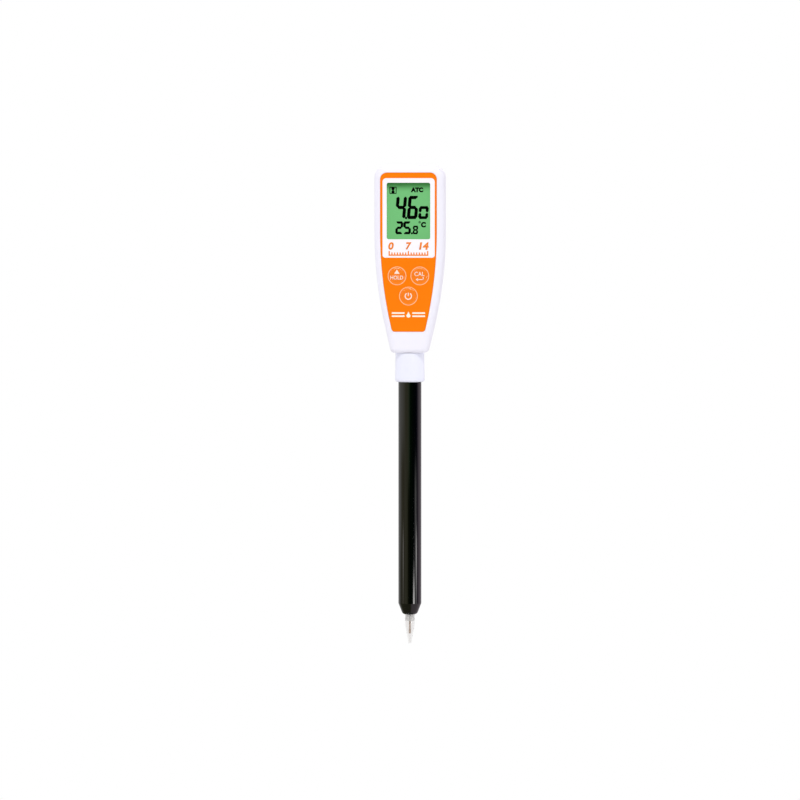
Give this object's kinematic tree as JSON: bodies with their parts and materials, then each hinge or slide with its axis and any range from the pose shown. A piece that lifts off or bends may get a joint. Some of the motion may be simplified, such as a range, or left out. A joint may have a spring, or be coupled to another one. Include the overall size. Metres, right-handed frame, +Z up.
{
  "type": "digital ph meter",
  "caption": "Pen-type digital pH meter: tapered white housing with orange front film, green display and keys, on a long black tube electrode with a glass spear tip.",
  "frame": {"origin": "on the axis of the probe tube, at the lower face of the probe collar", "axes": "+Z up along the probe axis towards the display end, the display faces -Y, +X to the right of the display"},
  "size_m": [0.038, 0.0242, 0.2615],
  "materials": {
    "white_plastic": "smooth satin ABS",
    "grey_plastic": "matte",
    "orange_film": "printed polyester film, satin",
    "clear_window": "clear, glossy",
    "lcd_glass": "green backlit display",
    "light_guide": "translucent",
    "rubber_black": "matte",
    "rubber_grey": "matte",
    "board_green": "solder mask",
    "chip_black": "matte",
    "switch_plastic": "matte",
    "switch_stem": "matte",
    "screw_steel": "zinc plated",
    "cell_jacket": "plain dark jacket",
    "spring_steel": "nickel plated",
    "gold_contact": "gold plated",
    "tube_black": "glossy black epoxy",
    "clear_glass": "clear, polished",
    "silver": "drawn wire",
    "silver_chloride": "matt coating",
    "seal_grey": "translucent grey silicone",
    "junction_white": "porous",
    "resin": "potting resin"
  },
  "bodies": {
    "probe": {"probe_collar": "white_plastic", "probe_plug": "grey_plastic", "plug_pins": "gold_contact", "plug_o_ring": "rubber_black", "terminal_board": "board_green", "probe_tube": "tube_black", "glass_electrode": "clear_glass", "stem_seal": "seal_grey", "silver_wire": "silver", "chloride_element": "silver_chloride", "reference_wire": "silver", "temperature_sensor": "resin", "junction_ring": "junction_white", "electrode_potting": "resin"},
    "meter": {"front_housing": "white_plastic", "rear_housing": "white_plastic", "housing_gasket": "rubber_grey", "housing_screws": "screw_steel", "faceplate_film": "orange_film", "display_window": "clear_window", "lcd_panel": "lcd_glass", "lcd_frame": "grey_plastic", "backlight": "light_guide", "zebra_connector": "rubber_black", "circuit_board": "board_green", "board_chips": "chip_black", "tact_switches": "switch_plastic", "battery_cells": "cell_jacket", "battery_contacts": "spring_steel", "battery_springs": "spring_steel", "probe_socket": "grey_plastic", "socket_insert": "grey_plastic", "socket_contacts": "gold_contact"},
    "battery_door": {"battery_door": "white_plastic"},
    "hold_button": {"hold_key": "orange_film", "hold_switch_stem": "switch_stem"},
    "cal_button": {"cal_key": "orange_film", "cal_switch_stem": "switch_stem"},
    "power_button": {"power_key": "orange_film", "power_switch_stem": "switch_stem"}
  },
  "joints": [
    {"name": "meter_unplug", "type": "slide", "parent": "probe", "child": "meter", "axis": [0, 0, 1], "range_m": [0, 0.018]},
    {"name": "battery_door_slide", "type": "slide", "parent": "meter", "child": "battery_door", "axis": [0, 0, 1], "range_m": [0, 0.055]},
    {"name": "hold_press", "type": "slide", "parent": "meter", "child": "hold_button", "axis": [0, 1, 0], "range_m": [0, 0.0005], "stiffness_N_per_m": 800, "springref_m": -0.0002},
    {"name": "cal_press", "type": "slide", "parent": "meter", "child": "cal_button", "axis": [0, 1, 0], "range_m": [0, 0.0005], "stiffness_N_per_m": 800, "springref_m": -0.0002},
    {"name": "power_press", "type": "slide", "parent": "meter", "child": "power_button", "axis": [0, 1, 0], "range_m": [0, 0.0005], "stiffness_N_per_m": 800, "springref_m": -0.0002}
  ]
}
